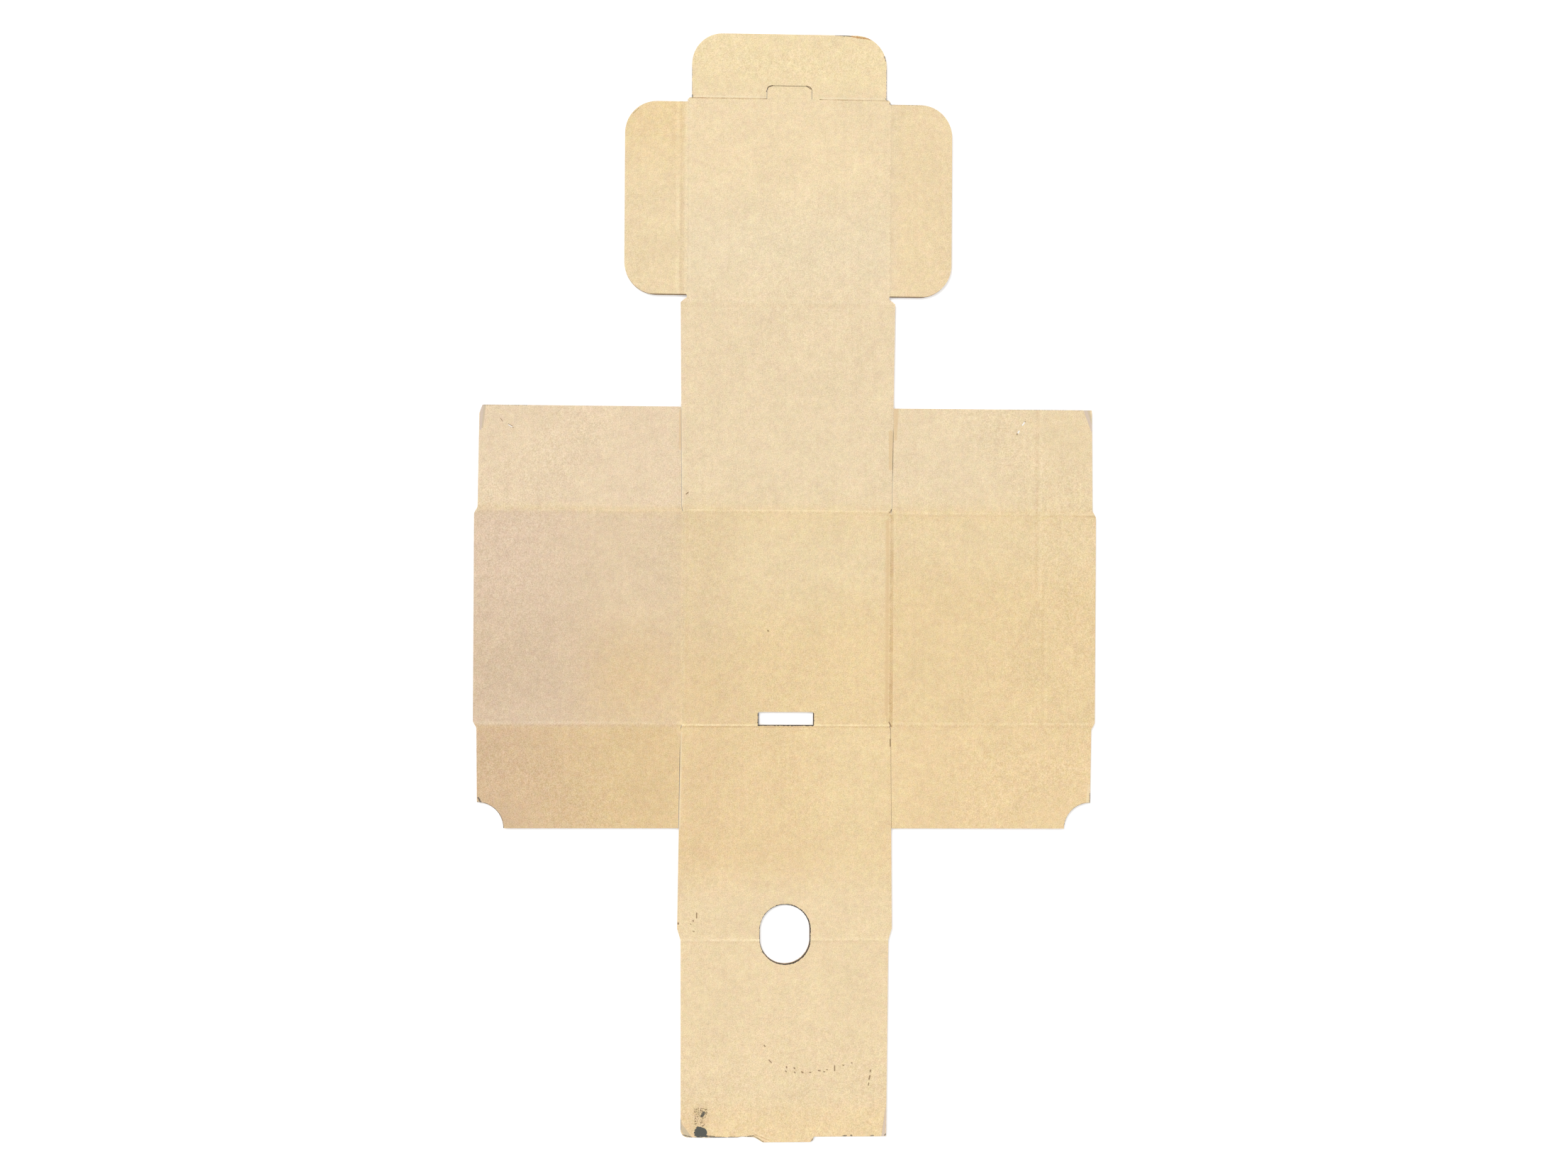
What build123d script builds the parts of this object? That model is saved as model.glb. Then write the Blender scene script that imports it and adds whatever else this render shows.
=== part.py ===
from build123d import *
import os
from math import hypot

# A flattened cardboard box: one die-cut blank of corrugated board, lying open with its inside up
# Lengths are millimetres. X runs across the blank, Y runs from the inner front panel up to the
# tuck flap, Z is up from the floor. The flutes run along Y. The origin is under the blank's middle.

# The board
board_thickness = 3.0
liner_thickness = 0.3
medium_thickness = 0.3
flute_pitch = 6.1

# The panels down the middle, from fold to fold
base_width = 155.2
base_depth = 159.4
back_height = 158.0
lid_depth = 151.0
tuck_depth = 48.0
front_height = 160.4
inner_height = 146.9
side_height = 155.0

# How much wider or narrower than the base each panel is, on each side
wall_root_ease = 1.0
wall_tip_ease = 2.7
lid_inset = 1.8
inner_root_inset = -0.1
inner_tip_inset = 0.8
tuck_inset = 4.8
shoulder_width = 1.4

# The flaps on the side panels and on the lid
back_flap_depth = 78.2
front_flap_depth = 76.9
flap_inset = 2.6
flap_taper = 1.0
flap_step = 4.6
flap_notch_radius = 19.4
slit_width = 0.4
slit_slant = 3.6
dust_flap_width = 46.6
dust_flap_setback = 3.1
dust_flap_lift = 3.7
dust_corner_radius = 24.0
tuck_corner_radius = 23.0
roll_step = 8.6
lid_step = 3.6

# The lock that holds the rolled-over front, and the finger hole on its fold
tab_width = 45.4
tab_depth = 4.0
tab_chamfer = 1.4
slot_width = 40.8
slot_depth = 9.6
slot_margin = 0.4
hole_width = 37.2
hole_height = 44.2
hole_offset = 4.4

# The cut of the tuck flap's fold, and the lock tab that stays on the lid
lock_width = 33.6
lock_height = 9.6
lock_corner_radius = 3.4
lock_bridge = 5.8
cut_width = 0.35
score_remainder = 1.0

# Fold lines: the flutes are crushed shut, with a raised bead inside and a pressed groove outside
crush_width = 3.6
bead_width = 2.4
bead_height = 0.35
groove_width = 3.0
groove_floor = 1.2
groove_depth = 1.4

# Two folds from use, with a lower bead than a pressed fold and no groove
stray_bead_width = 2.6
stray_bead_height = 0.15
dust_stray_offset = 5.2
side_stray_inset = 43.9

# Worn corners
round_corner_radius = 5.5
bent_corner = 2.2
bent_corner_length = 6.0
tab_tear = 7.0

# Places along the blank, worked out from the panels
blank_length = (tab_depth + inner_height + front_height + base_depth
                + back_height + lid_depth + tuck_depth)
tab_end = -blank_length / 2
inner_end = tab_end + tab_depth
roll_fold = inner_end + inner_height
front_fold = roll_fold + front_height
back_fold = front_fold + base_depth
lid_fold = back_fold + back_height
tuck_fold = lid_fold + lid_depth
tuck_end = tuck_fold + tuck_depth

# Half widths across the blank
base_edge = base_width / 2
side_edge = base_edge + side_height
flap_edge = side_edge - flap_inset
lid_edge = base_edge - lid_inset
dust_edge = lid_edge + dust_flap_width
tuck_edge = base_edge - tuck_inset
wall_root = base_edge + wall_root_ease
wall_tip = base_edge + wall_tip_ease
inner_root = base_edge - inner_root_inset
inner_tip = base_edge - inner_tip_inset


def panel(*corners):
    """A flat panel from its corners."""
    return make_face(Polyline(*corners, close=True))


def both_sides(shape):
    """The shape and its mirror image across the blank's middle line."""
    return shape + mirror(shape, about=Plane.YZ)


def symmetric_panel(*right_side):
    """A panel from the corners of its right edge, mirrored for its left edge."""
    left_side = [(-x, y) for x, y in reversed(right_side)]
    return panel(*right_side, *left_side)


def wall(fold, far, edge_end, far_half_width):
    """The front or back wall: slanted in to the base fold at its root, then widening a little."""
    direction = 1 if far > fold else -1
    return symmetric_panel(
        (base_edge, fold),
        (wall_root, fold + direction * slit_slant),
        (wall_tip, edge_end),
        (far_half_width, far),
    )


def back_wall():
    """The back wall, which steps in to the lid across their fold."""
    return wall(back_fold, lid_fold, lid_fold - lid_step / 2, (wall_tip + lid_edge) / 2)


def front_wall():
    """The front wall, which steps in to the inner panel just before their fold."""
    return wall(front_fold, roll_fold, roll_fold + roll_step, inner_root)


def corner_flap(fold, depth, direction, wall_length):
    """The flap on a side panel's edge, beside a wall, with the slit between them left open."""
    end = fold + direction * depth
    ease = (wall_tip - wall_root) * (depth - slit_slant) / (wall_length - slit_slant)
    return panel(
        (base_edge + slit_width, fold),
        (wall_root + slit_width, fold + direction * slit_slant),
        (wall_root + slit_width + ease, end),
        (flap_edge - flap_taper, end),
        (flap_edge, fold + direction * flap_step / 2),
        (side_edge, fold - direction * flap_step / 2),
        (base_edge + slit_width, fold - direction * flap_step / 2),
    )


def base_and_sides():
    """The base with a side panel on each side, whose outer corners the flaps' steps cut off."""
    inner_y = flap_step / 2
    return symmetric_panel(
        (base_edge, front_fold),
        (base_edge + slit_width, front_fold),
        (base_edge + slit_width, front_fold + inner_y),
        (side_edge, front_fold + inner_y),
        (side_edge, back_fold - inner_y),
        (base_edge + slit_width, back_fold - inner_y),
        (base_edge + slit_width, back_fold),
        (base_edge, back_fold),
    )


def back_flaps():
    """The two flaps that fold in behind the back wall, the left one with its corner bent off."""
    flap = corner_flap(back_fold, back_flap_depth, 1, back_height - lid_step / 2)
    end = back_fold + back_flap_depth
    tip_x = flap_edge - flap_taper
    bent = panel((-tip_x, end), (-tip_x + bent_corner, end), (-tip_x, end - bent_corner_length),
                 (-side_edge, end - bent_corner_length), (-side_edge, end))
    return both_sides(flap) - bent


def front_flaps():
    """The two flaps held between the double front, each with a round bite from its outer corner."""
    flap = corner_flap(front_fold, front_flap_depth, -1, front_height - roll_step)
    bite = Pos(flap_edge - flap_taper, front_fold - front_flap_depth) * Circle(flap_notch_radius)
    return both_sides(flap - bite)


def lid():
    """The lid, with a short shoulder on each side where the tuck flap is narrower."""
    return symmetric_panel(
        ((wall_tip + lid_edge) / 2, lid_fold),
        (lid_edge, lid_fold + lid_step / 2),
        (lid_edge, tuck_fold - shoulder_width),
        (lid_edge - shoulder_width, tuck_fold),
    )


def tuck_flap():
    """The lid's front flap, with round outer corners."""
    corners = symmetric_panel((tuck_edge, tuck_fold), (tuck_edge, tuck_end))
    outer = corners.vertices().group_by(Axis.Y)[-1]
    return fillet(outer, tuck_corner_radius)


def dust_flaps():
    """The lid's side flaps, with round outer corners."""
    bottom = lid_fold + dust_flap_lift
    top = tuck_fold - dust_flap_setback
    flap = panel((lid_edge, bottom), (dust_edge, bottom), (dust_edge, top), (lid_edge, top))
    outer = flap.vertices().group_by(Axis.X)[-1]
    return both_sides(fillet(outer, dust_corner_radius))


def inner_panel():
    """The panel that rolls over behind the front wall, its lower left corner worn round."""
    whole = symmetric_panel((inner_root, roll_fold), (inner_tip, inner_end))
    lower_left = whole.vertices().group_by(Axis.Y)[0].sort_by(Axis.X)[0]
    return fillet(lower_left, round_corner_radius)


def locking_tab():
    """The tab on the inner panel's edge that drops into the base's slot, torn at its left end."""
    half = tab_width / 2
    return panel(
        (half, inner_end),
        (half - tab_chamfer / 2, tab_end + tab_chamfer),
        (half - tab_chamfer * 2, tab_end),
        (-half + tab_tear, tab_end),
        (-half + tab_tear / 3, inner_end - tab_depth / 4),
        (-half, inner_end),
    )


def slot():
    """The slot beside the front fold that takes the locking tab."""
    low = front_fold + slot_margin
    return Pos(0, low + slot_depth / 2) * Rectangle(slot_width, slot_depth)


def finger_hole():
    """The long round hole across the roll-over fold."""
    centre = roll_fold + hole_offset
    return Pos(0, centre) * SlotOverall(hole_height, hole_width, rotation=90)


def lock_tab_cut():
    """The arched cut in the tuck flap that leaves a small tab standing on the lid."""
    def arch(grow):
        width = lock_width + 2 * grow
        top = lock_height + grow
        block = Pos(0, top / 2) * Rectangle(width, top)
        corners = block.vertices().group_by(Axis.Y)[-1]
        return fillet(corners, lock_corner_radius + grow)
    return Pos(0, tuck_fold) * (arch(cut_width / 2) - arch(-cut_width / 2))


def outline():
    """The whole blank's outline as one flat face, with its slot, its hole and the lock tab's cut."""
    pieces = (back_wall(), front_wall(), back_flaps(), front_flaps(), lid(), dust_flaps(),
              tuck_flap(), inner_panel(), locking_tab())
    blank = base_and_sides()
    for piece in pieces:
        blank += piece
    return blank - slot() - finger_hole() - lock_tab_cut()


def folds():
    """The start and the end of every pressed fold line."""
    across = [(lid_fold, lid_edge), (back_fold, side_edge), (front_fold, side_edge),
              (roll_fold, inner_root)]
    lines = [((-half, y), (half, y)) for y, half in across]
    dust_bottom = lid_fold + dust_flap_lift
    dust_top = tuck_fold - dust_flap_setback
    for side in (-1, 1):
        lines.append(((side * base_edge, front_fold), (side * base_edge, back_fold)))
        lines.append(((side * lid_edge, dust_bottom), (side * lid_edge, dust_top)))
    return lines


def stray_folds():
    """The line of each fold from use: on the left dust flap, and on the right side and back flap."""
    dust_x = -lid_edge - dust_stray_offset
    side_x = side_edge - side_stray_inset
    return [((dust_x, lid_fold + dust_flap_lift), (dust_x, tuck_fold - dust_flap_setback)),
            ((side_x, front_fold), (side_x, back_fold + back_flap_depth))]


def along(line, profile):
    """The profile drawn out along a fold line."""
    start, end = line
    run = Vector(end[0] - start[0], end[1] - start[1], 0)
    across = Vector(0, 0, 1).cross(run)
    return extrude(Plane(origin=(*start, 0), x_dir=across, z_dir=run) * profile, run.length)


def groove_profile():
    """The pressed groove's section on the outside face."""
    mouth = groove_width / 2
    floor = groove_floor / 2
    corners = [(-mouth, 0), (mouth, 0), (floor, groove_depth), (-floor, groove_depth)]
    return make_face(Polyline(*corners, close=True))


def crush_profile():
    """The section of the strip where the flutes are crushed shut."""
    return Pos(0, board_thickness / 2) * Rectangle(crush_width, board_thickness)


def bead_profile(width, height):
    """A bead's section on the inside face."""
    half = width / 2
    arch = ThreePointArc((-half, board_thickness), (0, board_thickness + height),
                         (half, board_thickness))
    return make_face(arch + Line((half, board_thickness), (-half, board_thickness)))


def channel_profile():
    """The section of the channel under one crest of the fluted medium."""
    low = liner_thickness
    high = board_thickness - liner_thickness - medium_thickness
    slope = flute_pitch / 2 / (high - low)
    half_width = flute_pitch / 2 - medium_thickness / 2 * hypot(1, slope)
    return make_face(Polyline((-half_width, low), (half_width, low), (0, high), close=True))


def channels():
    """The air channels of the flutes: one row under the crests, one turned over between them."""
    start = Plane(origin=(0, blank_length, 0), x_dir=(1, 0, 0), z_dir=(0, -1, 0))
    under = extrude(start * channel_profile(), 2 * blank_length)
    over = Pos(flute_pitch / 2, 0, board_thickness) * Rot(0, 180, 0) * under
    count = int(side_edge / flute_pitch) + 1
    places = [Pos(i * flute_pitch, 0, 0) for i in range(-count, count + 1)]
    return [place * channel for place in places for channel in (under, over)]


def scored_fold():
    """The tuck flap's fold: the inside face is cut half through on both sides of the lock tab."""
    depth = board_thickness - score_remainder
    lock_half = lock_width / 2
    left_length = tuck_edge - lock_half
    right_length = left_length - lock_bridge
    left = Pos(-tuck_edge + left_length / 2, tuck_fold, board_thickness) * Box(
        left_length, cut_width, 2 * depth)
    right = Pos(tuck_edge - right_length / 2, tuck_fold, board_thickness) * Box(
        right_length, cut_width, 2 * depth)
    return left + right


def blank():
    """The finished blank: creased along its folds, die-cut, and hollow along its flutes."""
    lines = folds()
    stray_bead = bead_profile(stray_bead_width, stray_bead_height)
    board = extrude(Rectangle(2 * side_edge, blank_length), board_thickness)
    board += [along(line, stray_bead) for line in stray_folds()]
    board += [along(line, bead_profile(bead_width, bead_height)) for line in lines]
    board -= [along(line, groove_profile()) for line in lines]
    board &= extrude(outline(), board_thickness + bead_height)
    flutes = Compound(children=channels()) - [along(line, crush_profile()) for line in lines]
    return board - scored_fold() - flutes


os.makedirs("parts", exist_ok=True)
export_step(blank(), "parts/box_blank.step")
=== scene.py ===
# %% [markdown]
# # A flattened cardboard box
#
# The object is one die-cut blank of corrugated board that lies open with its inside face up. Real
# board is made of three glued papers: a flat liner inside, a flat liner outside, and a wavy paper
# between them, the fluted medium. This lesson makes the board in the order of the factory: three
# papers, one die that cuts them all to the same outline, one press that creases them together, and
# then the wear of use. Last come the paper's material, the floor, the light and the camera.

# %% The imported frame
import math

import bmesh
import bpy
import numpy as np
from mathutils import Matrix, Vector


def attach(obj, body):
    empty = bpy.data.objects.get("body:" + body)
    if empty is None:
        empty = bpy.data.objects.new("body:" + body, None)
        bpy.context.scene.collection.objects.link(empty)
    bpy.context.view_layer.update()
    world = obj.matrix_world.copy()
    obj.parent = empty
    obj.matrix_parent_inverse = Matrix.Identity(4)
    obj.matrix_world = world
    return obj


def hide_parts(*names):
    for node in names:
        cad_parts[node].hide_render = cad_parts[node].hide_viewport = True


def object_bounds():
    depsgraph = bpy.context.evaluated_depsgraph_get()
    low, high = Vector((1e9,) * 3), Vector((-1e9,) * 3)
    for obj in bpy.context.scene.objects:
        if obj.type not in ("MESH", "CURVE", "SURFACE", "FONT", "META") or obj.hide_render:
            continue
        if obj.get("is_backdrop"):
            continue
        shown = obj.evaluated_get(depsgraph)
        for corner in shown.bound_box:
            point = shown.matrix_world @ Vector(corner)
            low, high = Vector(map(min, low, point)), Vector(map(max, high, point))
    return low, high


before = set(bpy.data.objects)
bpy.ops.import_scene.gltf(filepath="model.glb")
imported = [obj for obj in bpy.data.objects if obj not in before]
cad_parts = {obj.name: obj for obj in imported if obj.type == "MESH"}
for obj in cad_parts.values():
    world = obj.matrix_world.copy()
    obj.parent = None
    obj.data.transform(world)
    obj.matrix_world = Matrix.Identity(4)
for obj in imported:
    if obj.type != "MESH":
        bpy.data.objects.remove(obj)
cad_low, cad_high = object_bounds()
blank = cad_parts["box_blank"]
print("The blank measures", [round(v, 4) for v in cad_high - cad_low], "metres")

# %% [markdown]
# ## The sizes
#
# Blender works in metres, and board is measured in millimetres, so each size is a number of MM. The
# board is common B-flute: 3 mm thick, with a wave every 6.1 mm. The fold lines are worked out from
# the top edge of the frame, one panel depth after another. Typed in as numbers, they would no longer
# follow the frame.

# %% The board's own sizes
MM = 0.001
board = 3.0 * MM
paper = 0.3 * MM
flute_pitch = 6.1 * MM
print("The board is", board / MM, "mm thick and has a wave every", flute_pitch / MM, "mm")

# %% The panels and their fold lines
tuck_depth = 48.0 * MM
lid_depth = 151.0 * MM
back_height = 158.0 * MM
base_depth = 159.4 * MM
front_height = 160.4 * MM
base_edge = 77.6 * MM
lid_edge = 75.8 * MM
inner_edge = 77.7 * MM
tuck_edge = 72.8 * MM
dust_low_setback = 3.7 * MM
dust_high_setback = 3.1 * MM

side_edge = cad_high.x
tuck_fold = cad_high.y - tuck_depth
lid_fold = tuck_fold - lid_depth
back_fold = lid_fold - back_height
front_fold = back_fold - base_depth
roll_fold = front_fold - front_height
fold_places = [tuck_fold, lid_fold, back_fold, front_fold, roll_fold]
print("Folds across at", [round(y / MM, 1) for y in fold_places], "mm")

# %% [markdown]
# ## The folds
#
# A pressed fold has a low bead inside and a groove outside. Two more folds came from use and have only
# a lower bead: one beside the left dust flap's fold, one down the right side panel. Each could be modelled
# by hand, but they all have the same section. So each fold is only noted here, as its two ends and its
# share of the full bead and groove, and the press further on shapes them all.

# %% Every fold of the blank
folds = []


def add_fold(start, end, bead=1.0, groove=1.0):
    """One fold between two points."""
    folds.append({"start": start, "end": end, "bead": bead, "groove": groove})


stray_bead = 0.43
dust_stray_offset = 5.2 * MM
side_stray_inset = 43.9 * MM
back_flap_depth = 78.2 * MM
dust_low = lid_fold + dust_low_setback
dust_high = tuck_fold - dust_high_setback
dust_stray = -lid_edge - dust_stray_offset
side_stray = side_edge - side_stray_inset

add_fold((-lid_edge, lid_fold), (lid_edge, lid_fold))
add_fold((-inner_edge, roll_fold), (inner_edge, roll_fold))
for y in (back_fold, front_fold):
    add_fold((-side_edge, y), (side_edge, y))
for side in (-1, 1):
    add_fold((side * base_edge, front_fold), (side * base_edge, back_fold))
    add_fold((side * lid_edge, dust_low), (side * lid_edge, dust_high))
add_fold((dust_stray, dust_low), (dust_stray, dust_high), stray_bead, 0)
add_fold((side_stray, front_fold), (side_stray, back_fold + back_flap_depth), stray_bead, 0)
print(len(folds), "folds, two of them from use")

# %% [markdown]
# ## Small tools
#
# Blender's operators act on whatever is selected, and loading the frame leaves its nodes selected.
# So each step first selects one piece alone. Edit mode is opened and closed by name, and a modifier
# is applied at once, so that every step leaves a plain mesh behind.

# %% Selecting, editing and applying
def alone(piece):
    """Selects this piece and nothing else."""
    bpy.ops.object.select_all(action="DESELECT")
    piece.select_set(True)
    bpy.context.view_layer.objects.active = piece


def start_edit(piece):
    """Opens the piece's mesh for editing, with all of it selected."""
    alone(piece)
    bpy.ops.object.mode_set(mode="EDIT")
    bpy.ops.mesh.select_all(action="SELECT")


def end_edit():
    """Turns every face outwards and closes the mesh."""
    bpy.ops.mesh.select_all(action="SELECT")
    bpy.ops.mesh.normals_make_consistent(inside=False)
    bpy.ops.object.mode_set(mode="OBJECT")


def finish_with(piece, kind, **settings):
    """Adds a modifier with these settings and applies it."""
    alone(piece)
    modifier = piece.modifiers.new(kind.title(), kind)
    for name, value in settings.items():
        setattr(modifier, name, value)
    bpy.ops.object.modifier_apply(modifier=modifier.name)


def cut_lines(places, normal):
    """Cuts a line of new edges through the open mesh at each place along one axis."""
    for place in places:
        bpy.ops.mesh.select_all(action="SELECT")
        point = [place * part for part in normal]
        bpy.ops.mesh.bisect(plane_co=point, plane_no=normal)


# %% [markdown]
# ## The die
#
# In the factory a steel-rule die stamps the outline. Here the die is a tall prism of the same
# outline. Drawing the outline again by hand could only be less exact than the frame, so a copy of
# the frame's blank is sliced once inside its upper paper, above all the flutes and below the beads
# of the folds, and the slice is pulled up into the prism.

# %% A slice of the frame becomes the die
slice_level = board - paper / 2
die_reach = 5.0 * MM
same_point = 0.001 * MM
straight_angle = math.radians(0.5)


def die_from_frame(name):
    """A prism of the blank's outline, from well under the board to well over it."""
    die = blank.copy()
    die.data = blank.data.copy()
    die.name = name
    die.parent = None
    bpy.context.scene.collection.objects.link(die)
    start_edit(die)
    bpy.ops.mesh.remove_doubles(threshold=same_point)
    bpy.ops.mesh.select_all(action="SELECT")
    bpy.ops.mesh.bisect(plane_co=(0, 0, slice_level), plane_no=(0, 0, 1), use_fill=True,
                        clear_inner=True, clear_outer=True)
    bpy.ops.mesh.select_all(action="SELECT")
    bpy.ops.mesh.dissolve_limited(angle_limit=straight_angle)
    bpy.ops.mesh.select_all(action="SELECT")
    bpy.ops.transform.translate(value=(0, 0, -slice_level - die_reach))
    bpy.ops.mesh.extrude_region_move(TRANSFORM_OT_translate={"value": (0, 0, board + 2 * die_reach)})
    end_edit()
    return die


inside_die = die_from_frame("inside_die")
print("The die has", len(inside_die.data.polygons), "faces")

# %% [markdown]
# The tuck flap's fold isn't pressed: a blade cuts it half through from inside, on both sides of the
# lock tab. The slice shows that cut, and the outside paper must not have it, so the outside paper
# gets a die of its own in which two small blocks fill the cut again.

# %% The die for the outside paper
lock_half = 16.8 * MM
lock_bridge = 5.8 * MM
half_cuts = [(-tuck_edge, -lock_half), (lock_half + lock_bridge, tuck_edge)]
score_cover = 0.6 * MM


def block(name, low, high):
    """A box between two corners."""
    bpy.ops.object.select_all(action="DESELECT")
    bpy.ops.mesh.primitive_cube_add(size=1, location=(0, 0, 0))
    piece = bpy.context.object
    piece.name = name
    start_edit(piece)
    bpy.ops.transform.resize(value=[b - a for a, b in zip(low, high)])
    bpy.ops.transform.translate(value=[(a + b) / 2 for a, b in zip(low, high)])
    end_edit()
    return piece


outside_die = die_from_frame("outside_die")
for start, end in half_cuts:
    cover = block("cover", (start, tuck_fold - score_cover, -die_reach),
                  (end, tuck_fold + score_cover, board + die_reach))
    finish_with(outside_die, "BOOLEAN", operation="UNION", solver="MANIFOLD", object=cover)
    bpy.data.objects.remove(cover)
print("The outside die has", len(outside_die.data.polygons), "faces")

# %% [markdown]
# ## The two liners
#
# A liner is a flat sheet of paper. A single plane would do if it stayed flat, but it has to bend. So it
# starts as a grid a little larger than the blank, because the die trims it. Its mesh is fine enough to
# hold gentle waves, and each fold gets extra lines of edges close together, because a crease needs
# points on its crest, on its slopes and beside them. The inside liner is the one that is seen, so its
# grid is finer, and finest where wear has dented it.

# %% Where a crease needs edge lines
crease_steps = [step * MM for step in (-3.2, -2.2, -1.4, -0.7, 0.0, 0.7, 1.4, 2.2, 3.2)]
few_steps = [step * MM for step in (-1.5, -0.6, 0.6, 1.5)]
margin = 3.0 * MM


def lines_near(places, steps):
    """The places of edge lines on and beside every fold."""
    return [place + step for place in places for step in steps]


def places_of(axis):
    """Where the folds that run across an axis lie on it, each place once."""
    return sorted({fold["start"][axis] for fold in folds if fold["start"][axis] == fold["end"][axis]})


along_places = places_of(0)
across_places = places_of(1)
print("Folds lie at", len(along_places), "places across the blank and", len(across_places), "along it")

# %% Where wear needs a finer mesh
worn_patches = [
    # left, right, low and high border, in MM
    (-26, -4, -417, -401),
    (-80, -56, -412, -396),
    (70, 80, -412, -388),
    (-232, -218, 104, 138),
    (218, 234, 110, 138),
    (220, 232, -164, -140),
]
patch_cuts = 3


def refine(sheet, patches):
    """Divides the faces inside each patch of the open mesh."""
    for patch in patches:
        left, right, low, high = [border * MM for border in patch]
        bpy.ops.mesh.select_all(action="DESELECT")
        mesh = bmesh.from_edit_mesh(sheet.data)
        for face in mesh.faces:
            middle = face.calc_center_median()
            face.select_set(left < middle.x < right and low < middle.y < high)
        bmesh.update_edit_mesh(sheet.data)
        bpy.ops.mesh.subdivide(number_cuts=patch_cuts)


# %% The two sheets
inside_spacing = 3.3 * MM
outside_spacing = 6.0 * MM


def flat_sheet(name, level, spacing, steps, patches=()):
    """A sheet of paper with its underside at this level, on a grid of this spacing."""
    width = 2 * (cad_high.x + margin)
    length = 2 * (cad_high.y + margin)
    bpy.ops.object.select_all(action="DESELECT")
    bpy.ops.mesh.primitive_grid_add(x_subdivisions=round(width / spacing),
                                    y_subdivisions=round(length / spacing), size=1)
    sheet = bpy.context.object
    sheet.name = name
    start_edit(sheet)
    bpy.ops.transform.resize(value=(width, length, 1))
    cut_lines(lines_near(across_places, steps), (0, 1, 0))
    cut_lines(lines_near(along_places, steps), (1, 0, 0))
    refine(sheet, patches)
    bpy.ops.mesh.select_all(action="SELECT")
    bpy.ops.transform.translate(value=(0, 0, level))
    bpy.ops.mesh.extrude_region_move(TRANSFORM_OT_translate={"value": (0, 0, paper)})
    end_edit()
    return sheet


inside_liner = flat_sheet("inside_liner", board - paper, inside_spacing, crease_steps, worn_patches)
outside_liner = flat_sheet("outside_liner", 0, outside_spacing, few_steps)
print("The liners have", len(inside_liner.data.polygons), "and", len(outside_liner.data.polygons), "faces")

# %% [markdown]
# ## The fluted medium
#
# The middle paper is pressed into equal waves between two toothed rollers. One wide grid could be lifted
# to a sine, but its columns would have to meet every crest. Here one wave is modelled and an Array
# modifier repeats it, so all crests are alike. The wave starts as a narrow grid, and each of its
# columns is lifted to its height on a sine. The repeats share their border points, and Solidify gives
# the wavy sheet the thickness of paper.

# %% One wave of the medium
wave_columns = 8
wave_height = board - 3 * paper
wave_top = board - 1.5 * paper
row_spacing = 30.0 * MM


def one_wave():
    """One flute, from crest to crest, at the left border of the sheet."""
    length = 2 * (cad_high.y + margin)
    bpy.ops.object.select_all(action="DESELECT")
    bpy.ops.mesh.primitive_grid_add(x_subdivisions=wave_columns,
                                    y_subdivisions=round(length / row_spacing), size=1)
    wave = bpy.context.object
    wave.name = "fluted_medium"
    start_edit(wave)
    bpy.ops.transform.resize(value=(flute_pitch, length, 1))
    cut_lines(lines_near(across_places, few_steps), (0, 1, 0))
    bpy.ops.object.mode_set(mode="OBJECT")
    for vertex in wave.data.vertices:
        turn = 2 * math.pi * vertex.co.x / flute_pitch
        vertex.co.z = wave_top - wave_height / 2 * (1 - math.cos(turn))
    return wave


fluted_medium = one_wave()
print("One wave has", len(fluted_medium.data.polygons), "faces")

# %% The row of waves
wave_count = 2 * math.ceil((cad_high.x + margin) / flute_pitch) + 1
finish_with(fluted_medium, "ARRAY", count=wave_count, use_relative_offset=False,
            use_constant_offset=True, constant_offset_displace=(flute_pitch, 0, 0),
            use_merge_vertices=True, merge_threshold=0.01 * MM)
start_edit(fluted_medium)
bpy.ops.transform.translate(value=(-(wave_count - 1) / 2 * flute_pitch, 0, 0))
end_edit()
finish_with(fluted_medium, "SOLIDIFY", thickness=paper, offset=0, use_even_offset=True)
print(wave_count, "waves,", len(fluted_medium.data.polygons), "faces")

# %% [markdown]
# ## Die-cutting
#
# The steel rule cuts all three papers at one stroke. A Boolean modifier does the same: each paper is
# intersected with its die. A sheet with thickness is a closed solid, and so is the die, so the Manifold
# solver can be used. It is much quicker than the Exact one and leaves a closed solid again.

# %% The papers are cut to the outline
papers = [inside_liner, fluted_medium, outside_liner]
for piece in papers:
    die = outside_die if piece == outside_liner else inside_die
    finish_with(piece, "BOOLEAN", operation="INTERSECT", solver="MANIFOLD", object=die)
    print(piece.name, "has", len(piece.data.polygons), "faces after the die")
for die in (inside_die, outside_die):
    bpy.data.objects.remove(die)

# %% [markdown]
# ## The press
#
# A creasing rule pushes a groove into the outside of the board, the flutes under it collapse, and a
# low bead rises inside. All three papers move together. So there is one rule for the height of every
# point: a floor and a ceiling that depend only on where the point lies, and the point's old share of
# the board's thickness between them. The papers stay glued wherever the board is pressed. Folds pulled
# out of each paper by hand would never fit one another so closely.

# %% Measuring from a line
def smooth(value, low, high):
    """0 below low, 1 above high, with a soft rise between."""
    share = np.clip((value - low) / (high - low), 0, 1)
    return share * share * (3 - 2 * share)


def from_line(x, y, start, end):
    """How far each point lies across a line and past its ends, and its share of the way along."""
    start, end = np.array(start), np.array(end)
    length = np.linalg.norm(end - start)
    run = (end - start) / length
    dx, dy = x - start[0], y - start[1]
    along = dx * run[0] + dy * run[1]
    across = dy * run[0] - dx * run[1]
    past = np.maximum(np.maximum(-along, along - length), 0)
    return across, past, along / length


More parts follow.
